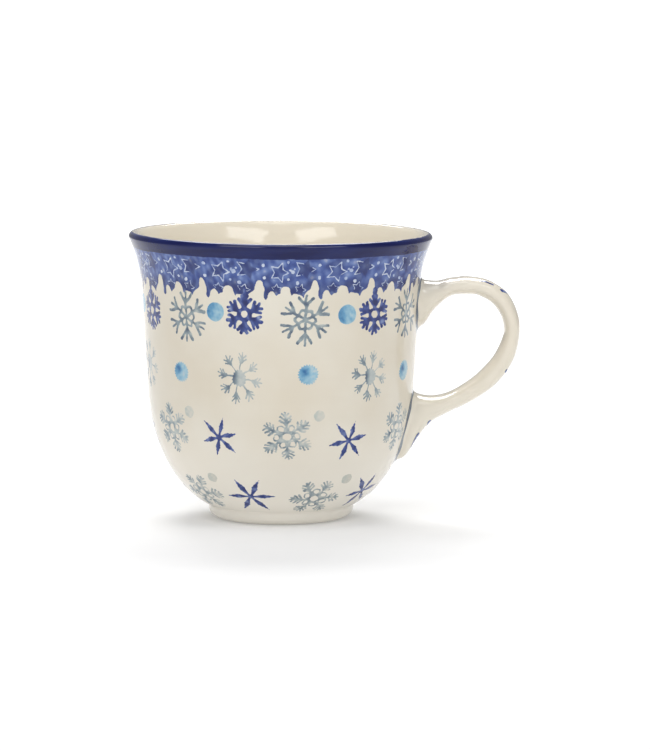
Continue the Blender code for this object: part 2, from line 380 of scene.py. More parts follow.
def make_piece(name, points, faces, material, normals=None, values=None, sharp=None):
    """A mesh object from millimetre points round the cup's axis, riding on the frame."""
    mesh = bpy.data.meshes.new(name)
    placed = (np.asarray(points, float) + CUP_AXIS) * MM
    mesh.from_pydata(placed.tolist(), [], faces)
    mesh.validate(clean_customdata=False)
    mesh.shade_smooth()
    for key, numbers in (values or {}).items():
        attribute = mesh.attributes.new(key, "FLOAT", "POINT")
        attribute.data.foreach_set("value", np.asarray(numbers, np.float32))
    if sharp is not None:
        ends = np.empty(len(mesh.edges) * 2, int)
        mesh.edges.foreach_get("vertices", ends)
        attribute = mesh.attributes.new("sharp_edge", "BOOLEAN", "EDGE")
        attribute.data.foreach_set("value", sharp[ends[0::2]] & sharp[ends[1::2]])
    if normals is not None:
        mesh.normals_split_custom_set_from_vertices(np.asarray(normals, float).tolist())
    mesh.materials.append(material)
    piece = bpy.data.objects.new(name, mesh)
    bpy.context.scene.collection.objects.link(piece)
    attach(piece, "root")
    return piece


def grid_faces(rows, columns, wrap_rows=False):
    """Quads of a grid of points numbered row by row, whose columns close into a ring."""
    faces = []
    for row in range(rows if wrap_rows else rows - 1):
        above = (row + 1) % rows
        for column in range(columns):
            beside = (column + 1) % columns
            here, there = row * columns, above * columns
            faces.append((here + column, here + beside, there + beside, there + column))
    return faces


def make_cup(material):
    """The clay body: underside, outside, lip and inside as one turned skin closed at the axis."""
    under = evenly(underside_outline()[1:], OUTLINE_STEP)
    outside = evenly(outside_outline(), OUTLINE_STEP)[1:]
    inner = evenly(inside_outline()[:-1], INSIDE_STEP)
    outline = np.concatenate([under, outside, inner[1:]])
    angles = np.arange(ROUND_STEPS) * 360.0 / ROUND_STEPS
    ring = np.ones(ROUND_STEPS)
    points = np.concatenate([turned_points(angles, ring * reach, ring * height) for reach, height in outline])
    faces = grid_faces(len(outline), ROUND_STEPS)
    bottom, top = len(points), len(points) + 1
    points = np.concatenate([points, [(0.0, 0.0, FOOT_RECESS[1]), (0.0, 0.0, FLOOR_INSIDE[1])]])
    last = (len(outline) - 1) * ROUND_STEPS
    for column in range(ROUND_STEPS):
        beside = (column + 1) % ROUND_STEPS
        faces.append((beside, column, bottom))
        faces.append((last + column, last + beside, top))
    radius, height = outline[:, 0], outline[:, 1]
    face_middle = sum(FOOT_FACE) / 2
    bare = smoothstep(1.6, 0.9, np.abs(radius - face_middle)) * smoothstep(0.7, 0.25, height)
    bare = np.concatenate([np.repeat(bare, ROUND_STEPS), [0.0, 0.0]])
    inside = np.zeros(len(outline))
    inside[-len(inner) :] = 1.0
    inside = np.concatenate([np.repeat(inside, ROUND_STEPS), [0.0, 1.0]])
    values = {"bare": bare, "inside": inside}
    cup = make_piece("glazed_cup", points, faces, material, values=values)
    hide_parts("cup_body")


# --- handle


def handle_frames():
    """Centres, half thickness vectors and half widths along the whole handle."""
    rows = [(*outer, *inner, half_width) for outer, inner, half_width in HANDLE_STATIONS]
    line = smooth_line(rows, HANDLE_RINGS_PER_STATION)
    outer = np.stack([line[:, 0], np.zeros(len(line)), line[:, 1]], 1)
    inner = np.stack([line[:, 2], np.zeros(len(line)), line[:, 3]], 1)
    return (outer + inner) / 2.0, (outer - inner) / 2.0, line[:, 4]


HANDLE_CENTRES, HANDLE_HALVES, HANDLE_WIDTHS = handle_frames()
HANDLE_MARKS = np.arange(len(HANDLE_CENTRES)) / HANDLE_RINGS_PER_STATION


def handle_points(mark, turn):
    """Points of the strap's skin: mark counts stations, turn in degrees is 0 on the outer edge line."""
    angle = np.radians(turn)
    centre = np.stack([np.interp(mark, HANDLE_MARKS, HANDLE_CENTRES[:, axis]) for axis in range(3)], -1)
    half = np.stack([np.interp(mark, HANDLE_MARKS, HANDLE_HALVES[:, axis]) for axis in range(3)], -1)
    width = np.interp(mark, HANDLE_MARKS, HANDLE_WIDTHS)
    wobble = 1.0 + 0.012 * np.sin(mark * 2.1 + 0.6) + 0.008 * np.sin(mark * 5.3)
    cosine, sine = np.cos(angle), np.sin(angle)
    along = np.sign(cosine) * np.abs(cosine) ** STRAP_ROUNDNESS
    across = np.sign(sine) * np.abs(sine) ** STRAP_ROUNDNESS
    out = centre + half * (along * wobble)[..., None]
    out[..., 1] += -width * across * wobble
    return out


def handle_normals(mark, turn):
    step_mark, step_turn = 0.04, 2.0
    along = handle_points(mark + step_mark, turn) - handle_points(mark - step_mark, turn)
    around = handle_points(mark, turn + step_turn) - handle_points(mark, turn - step_turn)
    normal = np.cross(along, around)
    return normal / np.linalg.norm(normal, axis=-1, keepdims=True)


def make_handle(material):
    turns = np.arange(HANDLE_SIDES) * 360.0 / HANDLE_SIDES
    rings = [handle_points(np.full(HANDLE_SIDES, mark), turns) for mark in HANDLE_MARKS]
    points = np.concatenate(rings)
    faces = grid_faces(len(rings), HANDLE_SIDES)
    last = (len(rings) - 1) * HANDLE_SIDES
    faces.append(tuple(reversed(range(HANDLE_SIDES))))
    faces.append(tuple(range(last, last + HANDLE_SIDES)))
    piece = make_piece("strap_handle", points, faces, material)
    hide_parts("handle")


def wall_distance(points):
    """Signed distance from the cup's outside, roughly, above zero outside the clay."""
    radius = np.hypot(points[..., 0], points[..., 1])
    height = points[..., 2]
    angle = np.degrees(np.arctan2(points[..., 0], -points[..., 1]))
    wall = radius_at_height(height) + sway(angle, height)
    slope = radius_at_height(height + 0.5) - radius_at_height(height - 0.5)
    return (radius - wall) * np.cos(np.arctan(slope))


def snap_to_wall(points):
    """(angle, reach) of the wall under each point."""
    return np.degrees(np.arctan2(points[:, 0], -points[:, 1])), reach_at_height(points[:, 2])


def root_curves(upper):
    """Round a root: its fillet's start on the strap, the corner, its landing on the wall, and outward."""
    turns = np.arange(HANDLE_SIDES * 2) * 180.0 / HANDLE_SIDES
    from_mark, to_mark = (4.0, 0.0) if upper else (12.0, 16.0)
    marks = np.linspace(from_mark, to_mark, ROOT_SEARCH_STEPS)
    starts, corners = [], []
    for turn in turns:
        line = handle_points(marks, np.full(len(marks), turn))
        distance = wall_distance(line)
        for wanted, found in ((FILLET_REACH, starts), (0.0, corners)):
            first = int(np.argmax(distance <= wanted))
            before = max(first - 1, 0)
            span = distance[before] - distance[first]
            share = (distance[before] - wanted) / span if span > 1e-9 else 0.0
            found.append(line[before] + (line[first] - line[before]) * share)
    starts, corners = np.array(starts), np.array(corners)
    angle, reach = snap_to_wall(corners)
    corners = wall_points(angle, reach)
    along = np.roll(corners, -1, axis=0) - np.roll(corners, 1, axis=0)
    outward = np.cross(wall_normals(angle, reach), along)
    outward /= np.linalg.norm(outward, axis=1, keepdims=True)
    middle = corners.mean(axis=0)
    if ((corners - middle) * outward).sum() < 0:
        outward = -outward
    landing_angle, landing_reach = snap_to_wall(corners + outward * FILLET_REACH)
    return starts, corners, wall_points(landing_angle, landing_reach), outward


def fillet_points(curves, share):
    """A point of the fillet's visible face: share 0 on the strap, 1 on the wall."""
    starts, corners, landings, _ = curves
    left = 1.0 - share
    return left**2 * starts + 2.0 * left * share * corners + share**2 * landings


def make_fillet(name, node, curves, material):
    """The smoothed bead of slip round a root, closed through the clay behind it."""
    starts, corners, _, _ = curves
    rows = [fillet_points(curves, share) for share in np.linspace(0.0, 1.0, FILLET_STEPS + 1)]
    middle = corners.mean(axis=0)
    buried = corners + (middle - corners) * 0.12
    angle, _ = snap_to_wall(corners)
    turn = np.radians(angle)
    buried -= 0.7 * np.stack([np.sin(turn), -np.cos(turn), np.zeros(len(turn))], 1)
    rows.append(buried)
    count = len(starts)
    points = np.concatenate(rows)
    faces = grid_faces(len(rows), count, wrap_rows=True)
    upper_turn = np.cross(rows[1][0] - rows[0][0], rows[0][1] - rows[0][0])
    if upper_turn @ (rows[FILLET_STEPS // 2][0] - buried[0]) > 0:
        faces = [face[::-1] for face in faces]
    sharp = np.zeros(len(points), bool)
    sharp[:count] = True
    sharp[FILLET_STEPS * count : (FILLET_STEPS + 1) * count] = True
    piece = make_piece(name, points, faces, material, sharp=sharp)
    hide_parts(node)


# --- distance fields


def segment(x, y, start, end, radius, end_radius=None):
    """A round-ended stroke between two points, its radius changing evenly along it."""
    end_radius = radius if end_radius is None else end_radius
    ax, ay = start
    dx, dy = end[0] - ax, end[1] - ay
    share = np.clip(((x - ax) * dx + (y - ay) * dy) / (dx * dx + dy * dy), 0.0, 1.0)
    return np.hypot(x - ax - dx * share, y - ay - dy * share) - (radius + (end_radius - radius) * share)


def strokes(x, y, *marks):
    """Round-ended strokes: (start x, start y, end x, end y, radius), and the end's radius if it changes."""
    return [segment(x, y, mark[:2], mark[2:4], *mark[4:]) for mark in marks]


def disc(x, y, centre, radius):
    return np.hypot(x - centre[0], y - centre[1]) - radius


def join(*fields, soft=0.25):
    """Union of fields with slightly rounded inner corners, as wet paint makes them."""
    out = fields[0]
    for field in fields[1:]:
        share = np.clip(0.5 + 0.5 * (field - out) / soft, 0.0, 1.0)
        out = field + (out - field) * share - soft * share * (1.0 - share)
    return out


def polygon(x, y, corners):
    """Signed distance from a closed outline."""
    corners = np.asarray(corners, float)
    nearest = np.full(x.shape, 1e9)
    inside = np.zeros(x.shape, bool)
    for (ax, ay), (bx, by) in zip(corners, np.roll(corners, -1, axis=0)):
        dx, dy = bx - ax, by - ay
        length = dx * dx + dy * dy
        if length < 1e-12:
            continue
        share = np.clip(((x - ax) * dx + (y - ay) * dy) / length, 0.0, 1.0)
        nearest = np.minimum(nearest, np.hypot(x - ax - dx * share, y - ay - dy * share))
        if ay != by:
            inside ^= ((ay > y) != (by > y)) & (x < (bx - ax) * (y - ay) / (by - ay) + ax)
    return np.where(inside, -nearest, nearest)


def star_corners(centre, radius, turn):
    """The ten corners of a five-pointed star, its waist at half of its radius."""
    angles = np.radians(turn) + np.arange(10) * math.pi / 5
    reach = np.where(np.arange(10) % 2 == 0, radius, radius * 0.5)
    return np.stack([centre[0] + reach * np.cos(angles), centre[1] + reach * np.sin(angles)], 1)


def fold(x, y, arms, turn):
    """Along and across the nearest of several arms, and the arm's number."""
    sector = 2.0 * math.pi / arms
    angle = np.arctan2(y, x) - math.radians(turn) + sector / 2.0
    local = np.mod(angle, sector) - sector / 2.0
    number = np.mod(np.floor(angle / sector), arms).astype(int)
    radius = np.hypot(x, y)
    return radius * np.cos(local), np.abs(radius * np.sin(local)), number


# --- motifs


def hand_shake(x, y, seed, amount=0.13):
    """The small distortions that each press of a hand-cut sponge leaves."""
    return x + amount * drift(seed + 1, 5.0, x, y), y + amount * drift(seed + 2, 5.0, x, y)


def cobalt_flake(x, y, seed):
    x, y = hand_shake(x, y, seed, 0.16)
    along, across, _ = fold(x, y, 6, 90)
    ring = np.abs(np.hypot(x, y) - 1.66) - 0.62
    stem_fork = ((1.8, 0.0, 4.3, 0.0, 0.76), (4.0, 0.1, 5.45, 0.84, 0.54))
    branch_knot = ((2.9, 0.3, 4.5, 1.86, 0.56), (3.4, 0.0, 4.1, 0.0, 1.0))
    arm = strokes(along, across, *stem_fork, *branch_knot)
    link = segment(x, y, (0.0, 4.6), (0.2, 7.9), 0.85, 0.8)
    link = link + 0.22 * drift(seed + 5, 2.2, x, y)
    field = join(ring, *arm, link, soft=0.2)
    pigment = 0.76 + 0.26 * drift(seed + 3, 3.0, x, y)
    return field + 0.06 * drift(seed + 4, 1.3, x, y), pigment


def branched_flake(x, y, seed):
    x, y = hand_shake(x, y, seed, 0.2)
    draw = np.random.default_rng(seed)
    lengths = draw.uniform(0.94, 1.04, 6)
    along, across, arm = fold(x, y, 6, 90)
    along = along / lengths[arm]
    stem_side = strokes(along, across, (0.0, 0.0, 7.2, 0.0, 0.5, 0.42), (3.9, 0.0, 6.65, 2.1, 0.5, 0.52))
    bump = 0.35 * np.cos(6.0 * (np.arctan2(y, x) - math.radians(60)))
    ring = np.abs(np.hypot(x, y) - 2.7 - bump) - 0.5
    field = join(*stem_side, ring, soft=0.3)
    centre = np.hypot(x, y)
    pigment = 0.7 + 0.2 * drift(seed + 3, 3.2, x, y) + 0.12 * smoothstep(4.5, 7.0, centre)
    return field + 0.08 * drift(seed + 4, 1.4, x, y), pigment - 0.012 * x


def fern_flake(x, y, seed):
    x, y = hand_shake(x, y, seed, 0.2)
    x, y = x * 1.06, y * 0.96
    along, across, arm = fold(x, y, 8, 79)
    draw = np.random.default_rng(seed)
    along = along / draw.uniform(0.95, 1.03, 8)[arm]
    stem, heart = (1.8, 0.0, 7.25, 0.0, 0.27, 0.26), (4.6, 0.0, 5.8, 0.0, 0.62, 0.5)
    twigs = ((4.4, 0.0, 5.75, 1.3, 0.3, 0.28), (5.3, 0.0, 6.7, 1.15, 0.3, 0.27))
    core = disc(x, y, (0.0, 0.0), 2.35) + 0.14 * np.cos(16.0 * np.arctan2(y, x))
    field = join(*strokes(along, across, stem, *twigs, heart), core, soft=0.2)
    left = smoothstep(5.0, -5.0, x + 0.25 * y)
    pigment = 0.36 + 0.38 * left + 0.13 * drift(seed + 3, 2.6, x, y)
    inner = smoothstep(2.6, 1.9, np.hypot(x, y))
    pale = 0.3 + 0.66 * smoothstep(0.4, -2.1, x)
    return field + 0.05 * drift(seed + 4, 1.1, x, y), pigment + (pale - pigment) * inner


def rosette_flake(x, y, seed):
    x, y = hand_shake(x, y, seed, 0.2)
    along, across, arm = fold(x, y, 6, 90)
    draw = np.random.default_rng(seed)
    along = along / draw.uniform(0.95, 1.05, 6)[arm]
    ring = np.abs(np.hypot(x, y) - 1.4) - 0.32
    loop = np.abs(np.hypot(along - 2.46, across - 1.42) - 0.94) - 0.3
    stem, tip = (1.6, 0.0, 7.4, 0.0, 0.38, 0.34), (5.9, 0.0, 7.1, 1.05, 0.36, 0.34)
    twigs = ((3.9, 0.0, 5.1, 1.75, 0.38), (4.9, 0.0, 6.2, 1.65, 0.38, 0.36))
    field = join(ring, loop, *strokes(along, across, stem, *twigs, tip), soft=0.32)
    pigment = 0.5 + 0.24 * drift(seed + 3, 2.8, x, y) - 0.02 * x
    return field + 0.09 * drift(seed + 4, 1.2, x, y), pigment


def petal_star(x, y, seed):
    x, y = hand_shake(x, y, seed, 0.12)
    draw = np.random.default_rng(seed)
    reach = 7.1 * draw.uniform(0.86, 1.05, 6)
    along, across, arm = fold(x, y, 6, 0)
    share = along / reach[arm]
    widths = np.interp(share, (0.0, 0.2, 0.5, 1.0), (0.4, 0.42, 0.9, 0.03))
    teeth = 0.07 * np.sin(share * 38.0 + arm * 1.7)
    petal = (across - widths - teeth * smoothstep(0.3, 0.5, share)) * 0.97
    petal = np.maximum(petal, along - reach[arm])
    hub = disc(x, y, (0.0, 0.0), 0.85)
    field = join(petal, hub, soft=0.2)
    pigment = 0.7 + 0.2 * drift(seed + 3, 2.4, x, y)
    return field, pigment


def plain_dot(x, y, seed):
    radius = 2.92 + 0.07 * drift(seed, 4.0, x, y)
    field = disc(x, y, (0.0, 0.0), radius)
    pigment = 0.42 + 0.42 * smoothstep(1.0, -2.9, x - 0.3 * y) + 0.08 * drift(seed + 3, 1.8, x, y)
    return field, pigment


def serrated_dot(x, y, seed):
    angle = np.arctan2(y, x)
    radius = 3.0 + 0.2 * np.cos(22.0 * angle) + 0.08 * drift(seed, 3.0, x, y)
    field = np.hypot(x, y) - radius
    spot = smoothstep(2.1, 0.2, np.hypot(x + 0.9, y - 0.7))
    left = smoothstep(1.2, -2.6, x)
    pigment = 0.34 + 0.2 * left + 0.46 * spot + 0.07 * drift(seed + 3, 1.6, x, y)
    return field, pigment


def faint_dot(x, y, seed):
    field = disc(x, y, (0.0, 0.0), 1.85 + 0.12 * drift(seed, 2.5, x, y))
    pigment = 0.22 + 0.26 * smoothstep(0.8, -1.9, x) + 0.1 * drift(seed + 3, 1.2, x, y)
    return field, pigment


# --- paint skins


def trace(field, wrap=False):
    """Cuts the part of a grid where field is below zero into faces.

    Returns each point's row and column as fractions, which points lie on the edge, and the faces.
    """
    columns = field.shape[1]
    inside = field < 0.0
    numbers = np.full(field.shape, -1)
    numbers[inside] = np.arange(inside.sum())
    places = [tuple(place) for place in np.argwhere(inside).astype(float)]
    crossings = {}

    def crossing(row, column, vertical):
        key = (row, column % columns, vertical)
        if key not in crossings:
            other = (row + 1, column % columns) if vertical else (row, (column + 1) % columns)
            here, there = field[row, column % columns], field[other]
            share = min(max(here / (here - there), 0.02), 0.98)
            crossings[key] = len(places)
            places.append((row + share, column) if vertical else (row, column + share))
        return crossings[key]

    end = columns if wrap else columns - 1
    right = np.roll(inside, -1, axis=1)[:, :end]
    left = inside[:, :end]
    count = left[:-1].astype(int) + right[:-1] + left[1:] + right[1:]
    faces = []
    for row, column in np.argwhere(count == 4):
        beside = (column + 1) % columns
        faces.append(
            (numbers[row, column], numbers[row, beside], numbers[row + 1, beside], numbers[row + 1, column])
        )
    for row, column in np.argwhere((count > 0) & (count < 4)):
        corners = ((row, column), (row, column + 1), (row + 1, column + 1), (row + 1, column))
        sides = ((row, column, False), (row, column + 1, True), (row + 1, column, False), (row, column, True))
        face = []
        for number, (corner_row, corner_column) in enumerate(corners):
            following = corners[(number + 1) % 4]
            here = inside[corner_row, corner_column % columns]
            there = inside[following[0], following[1] % columns]
            if here:
                face.append(numbers[corner_row, corner_column % columns])
            if here != there:
                face.append(crossing(*sides[number]))
        faces.append(tuple(face))
    places = np.array(places).reshape(-1, 2)
    edge = np.arange(len(places)) >= inside.sum()
    return places, edge, [tuple(int(corner) for corner in face) for face in faces]


def read_grid(grid, places, wrap=False):
    """Values of a grid at fractional rows and columns."""
    rows, columns = grid.shape
    row = np.clip(np.floor(places[:, 0]).astype(int), 0, rows - 2)
    column = np.floor(places[:, 1]).astype(int)
    if not wrap:
        column = np.clip(column, 0, columns - 2)
    down = places[:, 0] - row
    over = places[:, 1] - column
    beside = (column + 1) % columns
    column = column % columns
    upper = grid[row, column] * (1 - over) + grid[row, beside] * over
    lower = grid[row + 1, column] * (1 - over) + grid[row + 1, beside] * over
    return upper * (1 - down) + lower * down


def paint_shape(field, wrap=False):
    """The traced shape of a field, and how far inside its edge each point is."""
    places, edge, faces = trace(field, wrap)
    depth = -read_grid(field, places, wrap)
    depth[edge] = 0.0
    return places, edge, faces, depth


class Skin:
    """A thin closed layer of paint, gathered from patches that each lie on some surface."""

    def __init__(self, lift):
        self.lift = lift
        self.points, self.normals, self.faces = [], [], []
        self.pigment, self.tone = [], []
        self.count = 0

    def add(self, base, normal, edge, faces, depth, pigment, tone=None):
        """A patch on a surface's points; depth: how far inside the paint's edge each of them is."""
        tone = np.zeros(len(base)) if tone is None else tone
        rise = smoothstep(0.0, PAINT_RAMP, depth)
        top = base + normal * (-PAINT_SINK + (PAINT_SINK + self.lift) * rise)[:, None]
        bottom = base - normal * (2.5 * PAINT_SINK)
        inner = np.flatnonzero(~edge)
        below = np.arange(len(base))
        below[inner] = len(base) + np.arange(len(inner))
        start = self.count
        self.points += [top, bottom[inner]]
        self.normals += [normal, -normal[inner]]
        self.pigment += [pigment, pigment[inner]]
        self.tone += [tone, tone[inner]]
        self.faces += [tuple(start + corner for corner in face) for face in faces]
        self.faces += [tuple(start + int(below[corner]) for corner in reversed(face)) for face in faces]
        self.count += len(base) + len(inner)

    def build(self, name, material, slot):
        make_piece(
            name,
            np.concatenate(self.points),
            self.faces,
            material,
            normals=np.concatenate(self.normals),
            values={"pigment": np.concatenate(self.pigment), "tone": np.concatenate(self.tone)},
        )


def soften(depth, pigment):
    """Paint thins towards its edge, where the glaze melts into it."""
    return np.clip(pigment, 0.02, 1.0) * (0.62 + 0.38 * smoothstep(0.0, 0.22, depth))


def stamp_skin(motif, placements, half, cell, lift, seed):
    """One skin holding every print of a motif round the cup."""
    skin = Skin(lift)
    span = np.arange(-half, half + cell, cell)
    x, y = np.meshgrid(span, span)
    for number, (angle, reach, turn, *size) in enumerate(placements):
        size = size[0] if size else 1.0
        tilt = math.radians(turn)
        flat_x = (x * math.cos(tilt) + y * math.sin(tilt)) / size
        flat_y = (y * math.cos(tilt) - x * math.sin(tilt)) / size
        field, pigment = motif(flat_x, flat_y, seed + 20 * number)
        places, edge, faces, depth = paint_shape(field)
        paint = soften(depth, read_grid(pigment, places))
        local_x = read_grid(x, places)
        local_reach = reach + read_grid(y, places)
        radius = np.interp(local_reach, REACHES, OUTSIDE[:, 0])
        where = (angle + np.degrees(local_x / radius), local_reach)
        skin.add(wall_points(*where), wall_normals(*where), edge, faces, depth, paint)
    return skin


# --- rim band and star border


BAND_REACH = reach_at_height(RIM_BAND_HEIGHT)


def make_rim_band(material):
    """The cobalt band laid on with a brush on the wheel, from the lip's crown down the flare."""
    crown = REACHES[-1] - LIP_ROLL * math.radians(180.0 - LIP_SLOPE - BAND_CROWN)
    columns = ROUND_STEPS * 2
    reaches = np.linspace(BAND_REACH - 0.35, crown + 0.35, BAND_ROWS)
    angles = np.arange(columns) * 360.0 / columns
    turn = np.radians(angles)
    around = (BAND_RADIUS * np.cos(turn), BAND_RADIUS * np.sin(turn))
    low_edge = BAND_REACH + 0.1 * drift(901, 14.0, *around) + 0.05 * drift(902, 4.0, *around)
    high_edge = crown + 0.16 * drift(903, 16.0, *around) + 0.06 * drift(904, 5.0, *around)
    field = np.maximum(low_edge - reaches[:, None], reaches[:, None] - high_edge)
    places, edge, faces, depth = paint_shape(field, wrap=True)
    angle = places[:, 1] * 360.0 / columns
    reach = np.interp(places[:, 0], np.arange(len(reaches)), reaches)
    turn = np.radians(angle)
    position = (BAND_RADIUS * np.cos(turn), BAND_RADIUS * np.sin(turn), reach * 6.0)
    # The pigment thins towards the lip's crown, where the glaze breaks over the edge. The paler line there is
    # also a painted highlight along the rim's top.
    thinning_and_highlight = smoothstep(1.3, 0.0, np.interp(angle, angles, high_edge, period=360.0) - reach)
    pigment = np.clip(0.9 + 0.1 * drift(905, 16.0, *position) - 0.45 * thinning_and_highlight, 0.1, 1.0)
    skin = Skin(BAND_LIFT)
    skin.add(wall_points(angle, reach), wall_normals(angle, reach), edge, faces, depth, pigment, thinning_and_highlight)
    skin.build("cobalt_rim_band", material, "cup_glaze")


def border_grid(cell):
    """Depths below the rim band, how far along its own repeat each point is, and places for drift."""
    columns = int(round(2.0 * math.pi * BORDER_RADIUS / cell))
    angles = np.arange(columns) * 360.0 / columns
    depths = np.arange(BORDER_TOP, BORDER_BOTTOM, cell)[::-1]
    starts = np.array(BORDER_STARTS + (BORDER_STARTS[0] + 360.0,))
    shifted = np.mod(angles - starts[0], 360.0) + starts[0]
    phase = np.interp(shifted, starts, np.arange(len(starts)))
    angle_grid, depth_grid = np.meshgrid(angles, depths)
    along = np.broadcast_to((phase - np.floor(phase)) * BORDER_REPEAT, angle_grid.shape)
    turn = np.radians(angle_grid)
    return depth_grid, along, (BORDER_RADIUS * np.cos(turn), BORDER_RADIUS * np.sin(turn), depth_grid)


def border_skin(lift, cell, draw_fields):
    """One layer of the star border, all the way round, from its paint fields."""
    depth_grid, along, position = border_grid(cell)
    shake_x = along + 0.14 * drift(71, 4.0, *position)
    shake_y = depth_grid + 0.14 * drift(72, 4.0, *position)
    field, pigment, tone = draw_fields(shake_x, shake_y, position)
    places, edge, faces, depth = paint_shape(field, wrap=True)
    angle = places[:, 1] * 360.0 / depth_grid.shape[1]
    reach = BAND_REACH - read_grid(depth_grid, places, wrap=True)
    paint = np.clip(read_grid(pigment, places, wrap=True), 0.02, 1.0)
    paint = paint * (0.6 + 0.4 * smoothstep(0.0, 0.2, depth))
    shade = np.clip(read_grid(tone, places, wrap=True), 0.0, 1.0)
    skin = Skin(lift)
    skin.add(wall_points(angle, reach), wall_normals(angle, reach), edge, faces, depth, paint, shade)
    return skin


FIRST_STAR = star_corners((5.1, 4.0), 3.1, 2)
GREAT_STAR = star_corners((13.5, 3.0), 3.5, 0)
LOW_STAR = star_corners((4.2, 9.1), 1.75, -85)
LOW_STAR_TWIN = star_corners((12.1, 9.4), 2.0, -75)
BORDER_DOTS = (
    ((9.5, 3.9), 0.72), ((8.7, 3.3), 0.5), ((10.1, 2.9), 0.42), ((0.0, 1.9), 0.64),
    ((0.1, 5.7), 0.64), ((8.0, 0.8), 0.55), ((8.1, 6.3), 0.55), ((11.0, 7.2), 0.68),
)


def border_ground(along, depth, position):
    """The blue sponge print with its dripping lower edge, and darker stars and patches in it."""
    edge = np.array(BORDER_EDGE)
    line = np.concatenate([edge + (shift * BORDER_REPEAT, 0.0) for shift in (-1, 0, 1)])
    line = smooth_line(line, 4)
    top = [(line[-1, 0], -3.0), (line[0, 0], -3.0)]
    field = polygon(along, depth, np.concatenate([line, top]))
    field = field + 0.1 * drift(73, 1.6, *position)
    field = np.maximum(field, -0.45 - depth)
    patches = smoothstep(0.0, 0.9, drift(74, 5.0, *position))
    low = smoothstep(5.5, 9.0, depth)
    tone = 0.5 * patches + 0.55 * low
    stars = ((FIRST_STAR, 0.35), (GREAT_STAR, 0.8), (LOW_STAR, 0.6), (LOW_STAR_TWIN, 0.6))
    for corners, strength in stars:
        tone = tone + strength * smoothstep(0.2, -0.3, polygon(along, depth, corners))
    pigment = 0.72 + 0.26 * drift(75, 2.4, *position)
    return field, pigment, tone


def border_lights(along, depth, position):
    """The pale lines and dots that the sponge leaves: star outlines, some only half printed."""
    broken = 0.1 * smoothstep(0.2, 0.9, drift(79, 3.4, *position))
    first = np.abs(polygon(along, depth, FIRST_STAR)) - 0.28 + broken
    great = np.abs(polygon(along, depth, GREAT_STAR)) - 0.26 + broken
    missing = 1.25 + 0.5 * drift(76, 3.0, *position) - np.abs(along - 14.2)
    great = np.maximum(great, missing)
    great = np.maximum(great, 0.6 - depth)
    low = np.maximum(np.abs(polygon(along, depth, LOW_STAR)) - 0.2, depth - 9.3)
    twin = np.maximum(np.abs(polygon(along, depth, LOW_STAR_TWIN)) - 0.2, depth - 9.9)
    field = join(first, great, low, twin, soft=0.08)
    for (dot_x, dot_y), radius in BORDER_DOTS:
        wrapped = np.mod(along - dot_x + BORDER_REPEAT / 2.0, BORDER_REPEAT) - BORDER_REPEAT / 2.0
        field = join(field, disc(wrapped, depth, (0.0, dot_y), radius), soft=0.12)
    field = field + 0.07 * drift(77, 1.5, *position)
    pigment = 0.72 + 0.3 * drift(78, 2.5, *position)
    return field, pigment, np.zeros_like(field)


# --- paint on and round the handle


def make_root_outline(name, curves, material):
    """A brushed grey-blue line where a root meets the wall."""
    _, corners, landings, outward = curves
    count = len(corners)
    turn = np.linspace(0.0, 2.0 * math.pi, count, endpoint=False)
    wide = 0.8 + 0.14 * np.sin(turn * 3.0 + 0.5) + 0.12 * np.sin(turn * 7.0 + 1.0)
    shift = -0.15 + 0.16 * np.sin(turn * 2.0 + 2.0)
    steps = np.linspace(-1.0, 1.0, 9)
    tops = []
    for step in steps:
        offset = shift + wide * step
        on_fillet = np.clip(1.0 + offset / (FILLET_REACH * 1.15), 0.3, 1.0)
        fillet = np.stack([fillet_points(curves, share)[index] for index, share in enumerate(on_fillet)])
        angle, reach = snap_to_wall(landings + outward * np.maximum(offset, 0.0)[:, None])
        tops.append(np.where((offset < 0.0)[:, None], fillet, wall_points(angle, reach)))
    tops = np.array(tops)
    across = np.gradient(tops, axis=0)
    along = np.roll(tops, -1, axis=1) - np.roll(tops, 1, axis=1)
    normals = np.cross(along, across)
    normals /= np.linalg.norm(normals, axis=-1, keepdims=True)
    middle = corners.mean(axis=0)
    facing = tops - middle + np.array((4.0, 0.0, 0.0))
    if (normals * facing).sum() < 0:
        normals = -normals
    faces = grid_faces(len(steps), count)
    if np.cross(tops[0, 1] - tops[0, 0], tops[1, 1] - tops[0, 0]) @ normals[0, 0] < 0:
        faces = [face[::-1] for face in faces]
    inward = np.repeat(1.0 - np.abs(steps), count)
    flow = 0.7 + 0.2 * np.sin(turn * 4.0 + 0.4) + 0.12 * np.sin(turn * 9.0)
    pigment = np.tile(flow, len(steps)) * (0.55 + 0.45 * smoothstep(0.0, 0.25, inward))
    skin = Skin(HANDLE_PAINT_LIFT)
    depth = inward * PAINT_RAMP / 0.25
    skin.add(tops.reshape(-1, 3), normals.reshape(-1, 3), inward == 0.0, faces, depth, pigment)
    skin.build(name, material, "slip_glaze")


# Dabs on the strap's outer face: (mark, turn, thickness, length, lean). The first five show at its edge.
HANDLE_DABS = (
    (5.0, 38, 1.3, 4.6, 80),
    (5.85, 28, 2.0, 2.8, 40),
    (9.35, 27, 1.6, 2.4, 10),
    (13.05, 30, 1.8, 2.6, 20),
    (14.12, 27, 2.9, 3.8, 60),
    (3.6, -42, 1.5, 3.2, 12),
    (7.2, -40, 1.5, 3.6, -14),
    (8.3, -34, 1.6, 3.4, 12),
    (10.6, -38, 1.5, 3.6, -16),
    (11.9, -40, 1.5, 3.4, 14),
)
DAB_HALF = 4.5
DAB_CELL = 0.2


